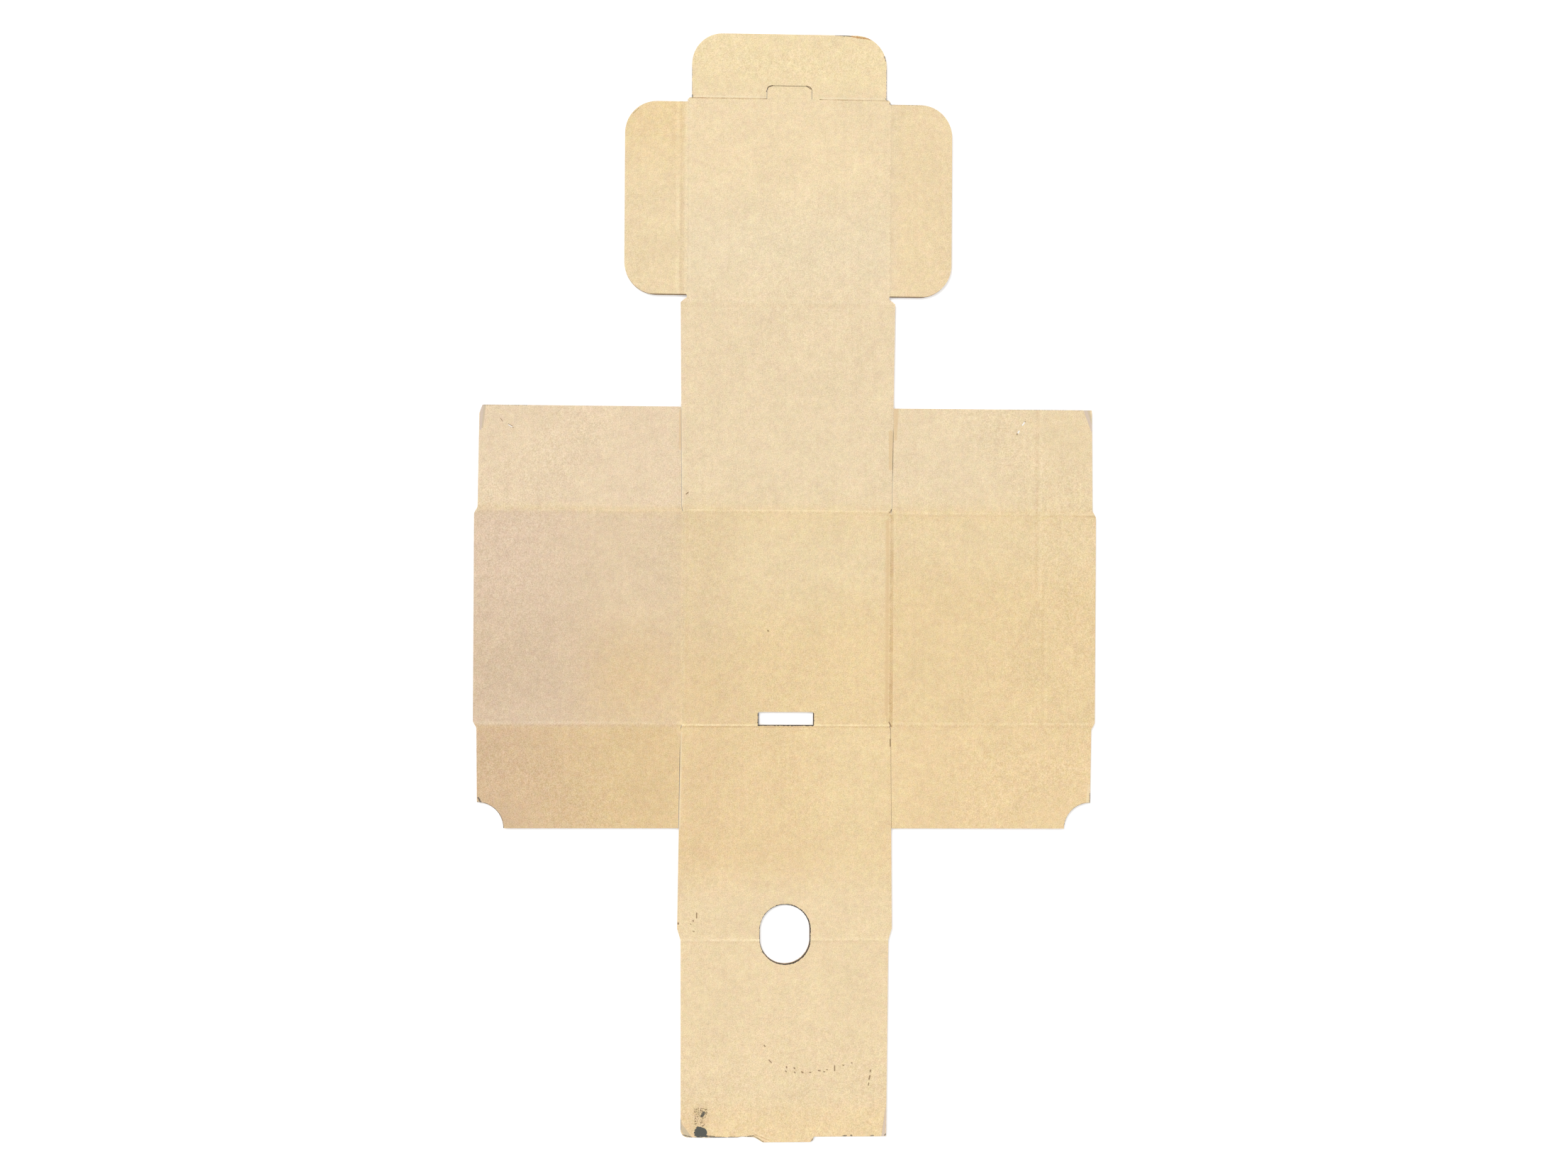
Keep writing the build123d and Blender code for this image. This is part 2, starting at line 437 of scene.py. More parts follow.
# %% The section of a crease
bead_height = 0.35 * MM
bead_reach = 1.4 * MM
valley_depth = 0.1 * MM
valley_place = 2.3 * MM
groove_depth = 1.4 * MM
groove_mouth = 1.5 * MM
groove_floor = 0.6 * MM
fold_fade = 1.0 * MM


def creases(x, y):
    """How much the folds raise the inside face, and how much they raise the outside face."""
    raised = np.zeros_like(x)
    grooved = np.zeros_like(x)
    for fold in folds:
        across, past, _ = from_line(x, y, fold["start"], fold["end"])
        inside_fold = 1 - smooth(past, 0, fold_fade)
        bead = 1 - smooth(abs(across), 0, bead_reach)
        valley = 1 - smooth(abs(abs(across) - valley_place), 0, valley_place - bead_reach)
        groove = np.clip((groove_mouth - abs(across)) / (groove_mouth - groove_floor), 0, 1)
        size = fold["bead"] * inside_fold
        raised = np.maximum(raised, bead * bead_height * size)
        raised = np.where(raised > 0, raised, np.minimum(raised, -valley * valley_depth * size))
        grooved = np.maximum(grooved, groove * groove_depth * fold["groove"] * inside_fold)
    return raised, grooved


# %% [markdown]
# Board that has been folded and opened again never lies quite flat. The free ends of the flaps stand
# a fraction of a millimetre off the floor, and each panel has a slow wave of its own. These lifts are
# kept well under a millimetre, because the frame's solid lies flat.

# %% How far the board stands off the floor
lift_tip = 0.55 * MM
flap_rise = 80 * MM
ripple_lift = 0.07 * MM


def lift(x, y):
    """The lift of each point: the outer panels rise slowly from their folds."""
    outer = smooth(abs(x), base_edge, side_edge)
    rise = 0.5 * lift_tip * outer * smooth(-abs(y), -400 * MM, -50 * MM)
    rise += lift_tip * smooth(y, back_fold, back_fold + flap_rise) * outer
    rise += lift_tip * smooth(-y, -front_fold, flap_rise - front_fold) * outer
    rise += lift_tip * smooth(y, tuck_fold, cad_high.y)
    rise += 0.6 * lift_tip * smooth(-y, -roll_fold, cad_high.y)
    ripple = np.sin(x / (37 * MM) + 1.3) * np.sin(y / (53 * MM) + 0.4)
    return rise + ripple_lift * (1 + ripple)


# %% [markdown]
# The slits beside the walls were cut by a thin blade, and the board closed again behind it. Only some
# stretches stand open, which is why a slit shows as a line that comes and goes. So the flap's edge
# leans over to the wall's edge, and less along the open stretches. The half-cut fold of the tuck flap
# closes the same way.

# %% How the slits close
slit_width = 0.4 * MM
wall_root = base_edge + 1.0 * MM
wall_tip = base_edge + 2.7 * MM
slit_slant = 3.6 * MM
lean_reach = 9.0 * MM
closed_share = 0.9
stretch_border = 8.0 * MM
open_stretches = [
    # side, from and to in MM, how far open
    (-1, 60, 136, 0.55),
    (1, 60, 86, 0.4),
    (1, 90, 114, 0.9),
    (-1, -180, -122, 0.9),
    (1, -180, -106, 0.45),
]


def lean(x, y):
    """How far each point beside a slit moves towards the blank's middle line."""
    shift = np.zeros_like(x)
    for fold_place, far in ((back_fold, lid_fold), (front_fold, roll_fold)):
        away = (y - fold_place) * np.sign(far - fold_place)
        widening = np.clip((away - slit_slant) / (abs(far - fold_place) - slit_slant), 0, 1)
        wall = wall_root + (wall_tip - wall_root) * widening
        beside = abs(x) - wall
        near = (beside > slit_width / 2) * (1 - smooth(beside, slit_width, lean_reach))
        shift += closed_share * slit_width * near * smooth(away, 0, slit_slant)
    for side, low, high, share in open_stretches:
        stretch = smooth(y, low * MM - stretch_border, low * MM)
        stretch *= 1 - smooth(y, high * MM, high * MM + stretch_border)
        shift *= 1 - share * stretch * (np.sign(x) == side)
    return -np.sign(x) * shift


# %% How the half-cut fold closes
score_closing = 0.3 * MM
score_end = 2.0 * MM


def close_score(x, y):
    """How far each point over the half-cut fold moves down to it."""
    over = (y > tuck_fold) * (1 - smooth(y - tuck_fold, score_cover, lean_reach))
    (far_left, lock_left), (lock_right, _) = half_cuts
    left = smooth(x, far_left - score_end, far_left) * (1 - smooth(x, lock_left - score_end, lock_left))
    right = smooth(x, lock_right, lock_right + score_end)
    return -score_closing * over * np.maximum(left, right)


# %% [markdown]
# Knocks leave dents in the inside paper: two ridges and a valley across the torn end of the locking
# tab, and a pressed band at each bent corner. A dent is a line with a half width and a height, and it
# may narrow towards its far end. Sculpting them would work as well, but a row of numbers can be changed
# at any time. Left of the tab the cut edge is knocked into a shallow wave.

# %% The dents
dents = [
    # start, end, half width at the start and at the end, height, all in MM
    ((-23.0, -408.0), (-14.0, -414.0), 1.3, 1.0, 0.35),
    ((-21.0, -405.0), (-9.5, -413.0), 1.1, 0.9, -0.22),
    ((-19.0, -403.5), (-6.0, -411.5), 1.0, 0.8, 0.25),
    ((-76.6, -399.6), (-68.6, -408.6), 1.6, 1.6, -0.22),
    ((73.9, -409.6), (76.4, -390.0), 1.8, 0.4, -0.22),
    ((-225.5, 136.0), (-228.6, 107.0), 2.4, 0.6, -0.22),
    ((224.6, 136.4), (229.0, 118.0), 2.2, 0.8, -0.22),
    ((226.0, -161.0), (224.6, -144.0), 2.0, 0.5, -0.22),
]


def dent(x, y):
    """The height of all the dents together."""
    height = np.zeros_like(x)
    for start, end, first, last, depth in dents:
        across, past, share = from_line(x, y, np.array(start) * MM, np.array(end) * MM)
        half = (first + (last - first) * np.clip(share, 0, 1)) * MM
        height += depth * MM * (1 - smooth(np.hypot(across, past), 0, half))
    return height


# %% The knocked edge
knock_depth = 0.35 * MM
long_wave = 2.7 * MM
short_wave = 1.3 * MM


def knock(x, y):
    """How far the lower edge of the inner panel, left of the tab, is pushed in."""
    near = smooth(-y, 404 * MM, 409 * MM) * smooth(x, -70 * MM, -60 * MM) * smooth(-x, 24 * MM, 30 * MM)
    return near * knock_depth * (np.sin(x / long_wave) + 0.5 * np.sin(x / short_wave))


# %% Pressing every paper by the same rule
def places_in(piece):
    """The place of every point of the piece, one row to a point."""
    places = np.empty(len(piece.data.vertices) * 3)
    piece.data.vertices.foreach_get("co", places)
    return places.reshape(-1, 3)


def press(piece):
    """Moves each point to its share of the board's thickness between the pressed faces."""
    places = places_in(piece)
    x, y, z = places.T.copy()
    share = z / board
    raised, grooved = creases(x, y)
    top = board + raised
    if piece == inside_liner:
        top = top + dent(x, y)
    places[:, 0] = x + lean(x, y)
    places[:, 1] = y + knock(x, y) + close_score(x, y)
    places[:, 2] = grooved + share * (top - grooved) + lift(x, y)
    piece.data.vertices.foreach_set("co", places.ravel())
    piece.data.update()


for piece in papers:
    press(piece)
low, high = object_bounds()
print("The pressed board reaches", round(high.z / MM, 2), "mm up")

# %% [markdown]
# ## Joining the frame
#
# The frame shows the board as one solid, and the three papers together stand for it, so it is hidden.
# Each paper rides on the frame's only body.
# Before that they are shaded smooth, or every face of the waves would show. Edges over 35 degrees
# stay sharp, such as those that the die cut.

# %% The papers replace the frame's blank
sharp_angle = math.radians(35)

for piece in papers:
    alone(piece)
    bpy.ops.object.shade_smooth_by_angle(angle=sharp_angle)
    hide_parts("box_blank")
    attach(piece, "root")
print(len(papers), "papers stand for the blank")

# %% [markdown]
# ## Making materials
#
# A material is a tree of nodes. It could be drawn in the shader editor, but written out it can be read
# from top to bottom. A few helpers keep each step on one line: one makes a node, one mixes two
# colours, one does a sum, one brings a value from one range into another, and one makes a noise.

# %% Making nodes
def node(tree, kind, *inputs, **settings):
    """A shader node with its settings, and its inputs in order as values or as sockets."""
    made = tree.nodes.new("ShaderNode" + kind)
    for name, value in settings.items():
        setattr(made, name, value)
    for socket, value in zip(made.inputs, inputs):
        feed(tree, socket, value)
    return made


def feed(tree, socket, value):
    """Links a socket, sets a value, or leaves the input as it is for None."""
    if isinstance(value, bpy.types.NodeSocket):
        tree.links.new(value, socket)
    elif value is not None:
        socket.default_value = value


# %% Mixing colours, sums and ranges
def mix(tree, factor, first, second, blend="MIX"):
    """One colour mixed into another."""
    made = tree.nodes.new("ShaderNodeMix")
    made.data_type = "RGBA"
    made.blend_type = blend
    for socket, value in zip((made.inputs[0], made.inputs[6], made.inputs[7]), (factor, first, second)):
        feed(tree, socket, value)
    return made.outputs[2]


def math_node(tree, operation, first, second=None):
    """One sum on numbers."""
    return node(tree, "Math", first, second, operation=operation).outputs[0]


def scaled(tree, value, low, high, to_low=0.0, to_high=1.0, soft=False):
    """A value brought from one range into another."""
    kind = "SMOOTHSTEP" if soft else "LINEAR"
    made = node(tree, "MapRange", value, low, high, to_low, to_high, interpolation_type=kind)
    return made.outputs[0]


# %% Making a noise
def noise(tree, place, scale, detail, shift=0.0, stretch=None):
    """A noise with features about one over the scale in size, in metres, stretched if asked."""
    if stretch:
        place = node(tree, "VectorMath", place, stretch, operation="MULTIPLY").outputs[0]
    made = node(tree, "TexNoise", noise_dimensions="4D")
    for socket, value in (("Vector", place), ("Scale", scale), ("Detail", detail), ("W", shift)):
        feed(tree, made.inputs[socket], value)
    return made.outputs["Fac"]


# %% [markdown]
# Marks on the paper, such as scuffs, stains and shaded stretches, are all drawn by one small tool: a
# stroke from one point to another with a half width and a soft border. It is a node group, so that
# dozens of marks cost a line each.

# %% The stroke group
def make_stroke_group():
    """A group that gives 1 near the line from Start to End and 0 past the border."""
    tree = bpy.data.node_groups.new("stroke", "ShaderNodeTree")
    for name in ("Place", "Start", "End"):
        tree.interface.new_socket(name, in_out="INPUT", socket_type="NodeSocketVector")
    for name in ("Half Width", "End Half Width", "Border"):
        tree.interface.new_socket(name, in_out="INPUT", socket_type="NodeSocketFloat")
    tree.interface.new_socket("Mask", in_out="OUTPUT", socket_type="NodeSocketFloat")
    given = tree.nodes.new("NodeGroupInput").outputs
    result = tree.nodes.new("NodeGroupOutput").inputs

    def vector(operation, *inputs):
        return node(tree, "VectorMath", *inputs, operation=operation)

    from_start = vector("SUBTRACT", given["Place"], given["Start"]).outputs[0]
    run = vector("SUBTRACT", given["End"], given["Start"]).outputs[0]
    reach = vector("DOT_PRODUCT", from_start, run).outputs["Value"]
    square = vector("DOT_PRODUCT", run, run).outputs["Value"]
    share = node(tree, "Math", reach, square, operation="DIVIDE", use_clamp=True).outputs[0]
    nearest = vector("SCALE", run)
    feed(tree, nearest.inputs["Scale"], share)
    away = vector("SUBTRACT", from_start, nearest.outputs[0]).outputs[0]
    distance = vector("LENGTH", away).outputs["Value"]
    growth = math_node(tree, "SUBTRACT", given["End Half Width"], given["Half Width"])
    half_width = math_node(tree, "ADD", given["Half Width"], math_node(tree, "MULTIPLY", growth, share))
    past = math_node(tree, "SUBTRACT", distance, half_width)
    rim = math_node(tree, "DIVIDE", past, given["Border"])
    feed(tree, result["Mask"], scaled(tree, rim, 0.0, 1.0, 1.0, 0.0, soft=True))
    return tree


stroke_group = make_stroke_group()
print("The stroke group has", len(stroke_group.nodes), "nodes")


# %% Many strokes as one mask
def inside_zone(line, zone):
    """True if a stroke, with room for its width, meets the zone between two heights on the sheet."""
    low, high = zone
    room = line[2] + line[3]
    return max(line[0][1], line[1][1]) + room > low and min(line[0][1], line[1][1]) - room < high


def strokes(tree, place, lines, zone):
    """The mask of the zone's strokes. Each is, in MM: start, end, half width, border, end half width."""
    mask = None
    for line in lines:
        if not inside_zone(line, zone):
            continue
        start, end, half_width, border, *end_half_width = line
        made = tree.nodes.new("ShaderNodeGroup")
        made.node_tree = stroke_group
        feed(tree, made.inputs["Place"], place)
        made.inputs["Start"].default_value = (start[0] * MM, start[1] * MM, 0)
        made.inputs["End"].default_value = (end[0] * MM, end[1] * MM, 0)
        made.inputs["Half Width"].default_value = half_width * MM
        made.inputs["End Half Width"].default_value = (end_half_width or [half_width])[0] * MM
        made.inputs["Border"].default_value = border * MM
        mask = made.outputs[0] if mask is None else math_node(tree, "MAXIMUM", mask, made.outputs[0])
    return mask


# %% [markdown]
# The tone drifts from panel to panel across the blank: the tuck flap is a pale cream, the base and
# front a warm tan, and the left side panel with the flap below it is darker. One colour for the whole
# blank would look like plastic. So the tones are painted on the mesh as a colour attribute, as a
# painter lays washes: each row is a soft-edged area with a colour, laid over the rows before it.
# Colours are written as they are seen and turned into Blender's linear values.

# %% Colours as they are seen
def seen(red, green, blue):
    """A colour as it looks on a screen, 0 to 255, as Blender's linear colour."""
    parts = [part / 255 for part in (red, green, blue)]
    linear = [part / 12.92 if part <= 0.04045 else ((part + 0.055) / 1.055) ** 2.4 for part in parts]
    return (*linear, 1.0)


tan = seen(234, 207, 160)
print("The tan under all the areas is", [round(part, 3) for part in tan[:3]], "in linear values")

# %% The painted areas
painted_areas = [
    # colour; left, right, low and high border; softness across and along, all in MM
    (seen(236, 214, 177), -400, 400, 60, 500, 1, 4),
    (seen(241, 218, 178), -76, 76, 240, 500, 6, 60),
    (seen(238, 218, 182), -76, 76, 225, 285, 6, 40),
    (seen(242, 220, 176), -76, 76, 372, 500, 6, 12),
    (seen(238, 215, 174), -400, -78, 210, 500, 4, 5),
    (seen(240, 213, 164), -400, -78, 325, 500, 4, 45),
    (seen(238, 214, 172), 80, 400, 210, 500, 6, 5),
    (seen(236, 213, 173), 170, 400, 60, 200, 50, 5),
    (seen(234, 211, 178), -400, -78, 60, 200, 3, 5),
    (seen(227, 203, 169), -400, -77, -104, 57, 3, 4),
    (seen(224, 199, 171), -400, -160, -104, 57, 50, 4),
    (seen(227, 198, 155), -160, -77, -104, -35, 30, 40),
    (seen(218, 193, 163), -400, -150, -104, -20, 40, 40),
    (seen(226, 197, 150), -400, -77, -400, -104, 4, 3),
    (seen(216, 186, 150), -400, -165, -400, -104, 60, 3),
    (seen(235, 211, 168), 77, 400, 15, 58, 3, 30),
    (seen(237, 209, 162), 77, 400, -400, -103, 3, 3),
    (seen(235, 212, 170), -77, 77, -15, 58, 3, 35),
    (seen(229, 204, 163), -77, -40, -104, 58, 22, 5),
    (seen(230, 201, 155), -77, -40, -104, -50, 22, 30),
    (seen(237, 210, 162), 30, 77, -104, -20, 25, 40),
    (seen(235, 207, 160), -80, 80, -300, -104, 2, 4),
    (seen(231, 202, 156), -80, -45, -250, -104, 22, 40),
    (seen(238, 212, 165), 25, 80, -300, -104, 22, 5),
    (seen(238, 214, 173), -80, 80, -500, -218, 2, 22),
    (seen(240, 213, 167), -80, 80, -500, -388, 2, 12),
    (seen(232, 204, 161), -80, -58, -500, -388, 20, 14),
]
print(len(painted_areas), "painted areas")


# %% Painting the inside paper
def paint(piece):
    """Writes the paper's colour at every point of the piece."""
    x, y, _ = places_in(piece).T / MM
    colour = np.tile(np.array(tan), (len(x), 1))
    for tone, left, right, low, high, across, along in painted_areas:
        area = (smooth(x, left - across, left + across) * smooth(-x, -right - across, across - right)
                * smooth(y, low - along, low + along) * smooth(-y, -high - along, along - high))
        colour += area[:, None] * (np.array(tone) - colour)
    attribute = piece.data.attributes.new("tone", "FLOAT_COLOR", "POINT")
    attribute.data.foreach_set("color", colour.ravel())


paint(inside_liner)
print("Painted", len(inside_liner.data.vertices), "points of the inside paper")

# %% [markdown]
# A fold shows from above as a light crest, often with a darker line beside it. The modelled bead
# catches a little light by itself, and the rest is painted: the light crest is partly worn paper and
# partly painted highlight, and the darker line is painted shade on the side away from the sun. One even
# line would look ruled, because these lines come and go along the fold. So each fold has rows of
# strokes, and a slow noise varies them. A row says how far from the pressed line the stroke lies, up or
# to the right, its half width, its border, and how much it changes the paper's tone.

# %% Rows of strokes beside a fold
# Worn crests with painted highlight, and lines of painted shade, along every fold.
fold_wear_and_painted_light = []


def tones_across(y, left, right, rows):
    """Strokes beside a fold that runs across the blank."""
    for place, half_width, border, change in rows:
        height = y / MM + place
        fold_wear_and_painted_light.append(((left / MM, height), (right / MM, height), half_width, border, change))


def tones_along(x, low, high, rows):
    """Strokes beside a fold that runs along the blank."""
    for place, half_width, border, change in rows:
        across = x / MM + place
        fold_wear_and_painted_light.append(((across, low / MM), (across, high / MM), half_width, border, change))


# %% The folds that run across the blank
for left, right in half_cuts:
    tones_across(tuck_fold, left, right, [(-0.25, 0.2, 0.35, -0.24), (0.55, 0.2, 0.4, 0.04)])
tones_across(lid_fold, -lid_edge, lid_edge, [(-0.8, 0.5, 1.2, 0.03), (-3.5, 1.0, 1.6, -0.03)])
tones_across(back_fold, -base_edge, base_edge, [(1.2, 0.25, 0.6, 0.085)])
tones_across(back_fold, -side_edge, -base_edge, [(-0.1, 0.4, 0.9, 0.035)])
tones_across(back_fold, base_edge, side_edge, [(-0.3, 0.35, 0.8, 0.07), (-1.9, 0.3, 0.7, -0.045)])
tones_across(front_fold, -base_edge, base_edge, [(0.25, 0.25, 0.55, 0.19), (-1.15, 0.25, 0.55, -0.1)])
for left, right in ((-side_edge, -base_edge), (base_edge, side_edge)):
    tones_across(front_fold, left, right, [(1.7, 0.4, 0.9, 0.065), (-0.2, 0.3, 0.8, -0.02)])
tones_across(roll_fold, -base_edge, base_edge, [(1.6, 0.6, 1.0, 0.035), (-1.6, 0.5, 1.0, -0.03)])
tones_across(roll_fold, -base_edge, 0, [(-0.1, 0.4, 0.7, 0.16)])
tones_across(roll_fold, 0, base_edge, [(0.4, 0.35, 0.7, 0.055)])

# %% The folds that run along the blank
stray_jog = -1.0 * MM
tones_along(-base_edge, front_fold, back_fold, [(1.0, 0.6, 1.0, 0.045), (2.5, 0.5, 1.2, -0.02)])
tones_along(base_edge, front_fold, back_fold,
            [(-1.5, 0.6, 0.6, -0.04), (1.1, 1.2, 0.35, -0.135), (2.9, 0.3, 0.5, 0.02)])
tones_along(-lid_edge, dust_low, dust_high,
            [(0.4, 1.6, 1.2, 0.04), (-3.9, 1.2, 0.9, -0.035), (-7.2, 0.8, 0.9, 0.05)])
tones_along(lid_edge, dust_low, dust_high, [(1.9, 0.5, 1.2, -0.03)])
tones_along(side_stray, stray_jog, back_fold + back_flap_depth,
            [(-0.9, 0.7, 0.6, -0.055), (2.2, 0.7, 0.8, 0.035)])
tones_along(side_stray, front_fold, stray_jog, [(4.1, 0.7, 0.6, -0.04), (6.6, 0.6, 0.8, 0.03)])

# %% Painted highlight and shade on the ridges across the torn end of the locking tab
torn_left, torn_right = -21.6, -11.0
for low, high, change in ((-406.6, -411.2, 0.2), (-407.9, -412.4, -0.3), (-409.2, -413.2, 0.15)):
    fold_wear_and_painted_light.append(((torn_left, low), (torn_right, high), 0.25, 0.4, change))
print(len(fold_wear_and_painted_light), "strokes along the folds")

# %% How much the worn crests and the painted highlight and shade of the folds change the tone
fold_wear_and_painted_light_scale = 70.0
least_wear_and_painted_light, most_wear_and_painted_light = 0.4, 1.6


def fold_shades(tree, place, flat, zone):
    """How much the folds' worn crests and painted highlight lighten a zone, and painted shade darkens it
    below 0.
    """
    slow = noise(tree, place, fold_wear_and_painted_light_scale, 4.0, 31.0)
    uneven = scaled(tree, slow, 0.35, 0.65, least_wear_and_painted_light, most_wear_and_painted_light)
    total = None
    for *line, change in fold_wear_and_painted_light:
        mask = strokes(tree, flat, [line], zone)
        if mask:
            part = math_node(tree, "MULTIPLY", mask, change)
            total = part if total is None else math_node(tree, "ADD", total, part)
    return math_node(tree, "MULTIPLY", total, uneven)


# %% [markdown]
# ## The paper
#
# Kraft paper is a felt of short fibres that lie mostly along and across the sheet. A photograph could
# give it, but a pattern made of noises needs no file and has no seams. One round noise alone would
# look like sand. So a fine round grain is multiplied with fibres, which are two noises stretched one
# each way, and with softer blotches from a few millimetres to a few centimetres wide. Some
# blotches are a little pink, some a little green, and the flutes below show as faint streaks.

# %% The grain, the fibres and the blotches
grain_scale = 1600.0
fibre_scale = 1100.0
fibre_stretch = 0.35
blotches = [
    # scale, shift, depth
    (420.0, 9.0, 0.045),
    (150.0, 3.0, 0.035),
    (30.0, 7.0, 0.025),
]


def around(tree, value, middle, depth):
    """A noise spread this far to both sides of a middle."""
    return scaled(tree, value, 0.3, 0.7, middle - depth, middle + depth)


def grain(tree, place):
    """The fine round grain, and the fibres that lie along and across the sheet."""
    fine = noise(tree, place, grain_scale, 2.0)
    along = noise(tree, place, fibre_scale, 3.0, 3.0, (1.0, fibre_stretch, 1.0))
    across = noise(tree, place, fibre_scale, 3.0, 5.0, (fibre_stretch, 1.0, 1.0))
    return fine, math_node(tree, "ADD", along, across)


def brightness(tree, place, fine, fibres):
    """The paper's brightness, about 1: grain, fibres and blotches of three sizes multiplied."""
    value = math_node(tree, "MULTIPLY", around(tree, fine, 1.0, 0.08),
                      scaled(tree, fibres, 0.75, 1.25, 0.96, 1.04))
    for scale, shift, depth in blotches:
        blotch = around(tree, noise(tree, place, scale, 2.0, shift), 1.0, depth)
        value = math_node(tree, "MULTIPLY", value, blotch)
    return value


# %% The relief of the paper
bump_strength = 0.35
bump_depth = 0.12 * MM
flute_relief = 0.2


def relief(tree, fine, fibres, streak):
    """Fibres and grain that stand up a little, with a trace of the flutes."""
    felt = math_node(tree, "ADD", fibres, fine)
    height = math_node(tree, "ADD", felt, math_node(tree, "MULTIPLY", streak, flute_relief))
    bump = node(tree, "Bump")
    bump.inputs["Strength"].default_value = bump_strength
    bump.inputs["Distance"].default_value = bump_depth
    feed(tree, bump.inputs["Height"], height)
    return bump.outputs[0]


# %% The paper itself
paper_roughness = 0.88
paper_shine = 0.25
streak_depth = 0.005
grain_share = 0.19
shade_depth = 0.58
shade_tint = (0.14, 0.3, 0.28)


def kraft(name, tone=None, zone=None):
    """Matte brown paper of one tone, or the painted, folded and worn paper of one zone, with painted shade
    and highlights.
    """
    material = bpy.data.materials.new(name)
    material.use_nodes = True
    tree = material.node_tree
    shader = tree.nodes["Principled BSDF"]
    shader.inputs["Roughness"].default_value = paper_roughness
    shader.inputs["Specular IOR Level"].default_value = paper_shine
    place = node(tree, "TexCoord").outputs["Object"]
    parts = node(tree, "SeparateXYZ", place).outputs
    flat = node(tree, "CombineXYZ", parts["X"], parts["Y"]).outputs[0]

    fine, fibres = grain(tree, place)
    value = brightness(tree, place, fine, fibres)
    streak = math_node(tree, "SINE", math_node(tree, "MULTIPLY", parts["X"], 2 * math.pi / flute_pitch))
    streaks = scaled(tree, streak, -1.0, 1.0, 1 - streak_depth, 1 + streak_depth)
    value = math_node(tree, "MULTIPLY", value, streaks)
    if zone:
        shade = fold_shades(tree, place, flat, zone)
        shades = scaled(tree, shade, -1.0, 1.0, 1 - shade_depth, 1 + shade_depth)
        value = math_node(tree, "MULTIPLY", value, shades)
    hue = around(tree, noise(tree, place, 210.0, 2.0, 11.0), 0.5, 0.008)
    richness = around(tree, noise(tree, place, 330.0, 2.0, 19.0), 1.0, 0.05)
    colour = tone or node(tree, "Attribute", attribute_name="tone").outputs["Color"]
    colour = node(tree, "HueSaturation", hue, richness, value, 1.0, colour).outputs[0]
    colour = mix(tree, grain_share, colour, fine, "LINEAR_LIGHT")
    if zone:
        tint = node(tree, "VectorMath", shade, shade_tint, operation="MULTIPLY").outputs[0]
        colour = mix(tree, 1.0, colour, tint, "ADD")
        colour = marks_and_painted_shade(tree, place, flat, zone, colour)
    feed(tree, shader.inputs["Base Color"], colour)
    feed(tree, shader.inputs["Normal"], relief(tree, fine, fibres, streak))
    return material


# %% [markdown]
# ## The marks of use, and painted shade at edges and corners
#
# A dark blot with a worn smear above it sits in the lower left corner. Scuffs make a shallow arc
# across the inner panel. Beside them lie painted shade and highlights: a grey band of painted shade on
# the slope of each bent corner, brown bands of painted shade beside the slits, dark lines of painted
# shade along the cut edges and in their rims, and a painted highlight on the lips of the cuts. They
# could be painted on a picture, but strokes stay sharp at any distance and need no file.
# Each list below is one kind of mark, and each row one stroke in MM: its start, its end, its half
# width, its border, and last the half width at its end where that is another.

# %% The blot and the smear
blot = [((-62.8, -405.4), (-60.6, -406.2), 3.3, 0.4), ((-65.6, -404.6), (-65.4, -404.4), 0.7, 0.3),
        ((-66.2, -406.4), (-66.0, -406.6), 0.7, 0.3), ((-65.6, -408.0), (-63.3, -408.8), 0.8, 0.3),
        ((-64.4, -402.6), (-63.8, -402.4), 0.6, 0.3), ((-60.2, -408.4), (-57.4, -409.0), 0.7, 0.3)]
smear = [((-65.6, -389.3), (-58.6, -389.4), 1.0, 0.9), ((-65.6, -392.0), (-58.4, -391.8), 1.1, 0.9),
         ((-65.4, -394.8), (-59.6, -394.4), 0.9, 0.9), ((-65.6, -397.4), (-65.0, -401.6), 0.7, 0.9),
         ((-61.4, -397.4), (-60.2, -401.2), 1.0, 0.9)]
smear_patch = [((-60.9, -393.9), (-59.6, -391.6), 0.8, 0.8)]
print(len(blot), "strokes in the blot and", len(smear) + len(smear_patch), "in the smear")
